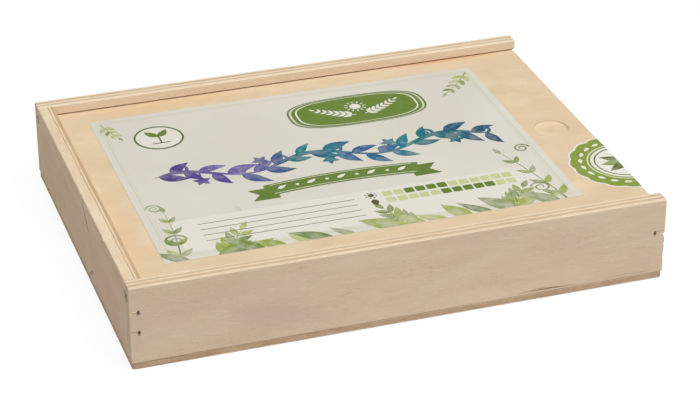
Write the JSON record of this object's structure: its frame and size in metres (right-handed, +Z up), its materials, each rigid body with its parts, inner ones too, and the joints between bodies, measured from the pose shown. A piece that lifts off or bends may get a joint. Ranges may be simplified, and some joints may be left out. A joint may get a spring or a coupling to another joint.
{
  "type": "garden seed organizer box",
  "caption": "Shallow plywood seed box with a lid that slides out over the low end wall, a paper label, a round seal, and bays that hold flat seed packets.",
  "frame": {"origin": "middle of the underside, on the surface that the box stands on", "axes": "+X towards the low end wall, over which the lid slides out; +Y towards the back wall; +Z up"},
  "size_m": [0.29, 0.22, 0.047],
  "materials": {
    "wall_plywood": "bare sanded poplar plywood with its plies showing on the edges",
    "lid_plywood": "bare sanded light plywood",
    "bottom_plywood": "bare thin plywood with a darker edge",
    "divider_plywood": "bare thin plywood",
    "label_paper": "matt off-white paper with a printed garden design",
    "seal_paper": "satin printed paper sticker",
    "packet_paper": "matt kraft paper with a small printed motif",
    "brad_steel": "dull darkened wire"
  },
  "bodies": {
    "box": {"front_wall": "wall_plywood", "back_wall": "wall_plywood", "closed_end_wall": "wall_plywood", "open_end_wall": "wall_plywood", "bottom_panel": "bottom_plywood", "left_divider": "divider_plywood", "right_divider": "divider_plywood", "left_packet": "packet_paper", "middle_packet": "packet_paper", "right_packet": "packet_paper", "seal_wall_half": "seal_paper", "front_left_brads": "brad_steel", "front_right_brad": "brad_steel", "back_left_brads": "brad_steel", "back_right_brad": "brad_steel", "bottom_brads": "brad_steel"},
    "lid": {"lid_panel": "lid_plywood", "lid_label": "label_paper", "seal_lid_half": "seal_paper"}
  },
  "joints": [
    {"name": "lid_slide", "type": "slide", "parent": "box", "child": "lid", "axis": [1, 0, 0], "range_m": [0, 0.292]}
  ]
}
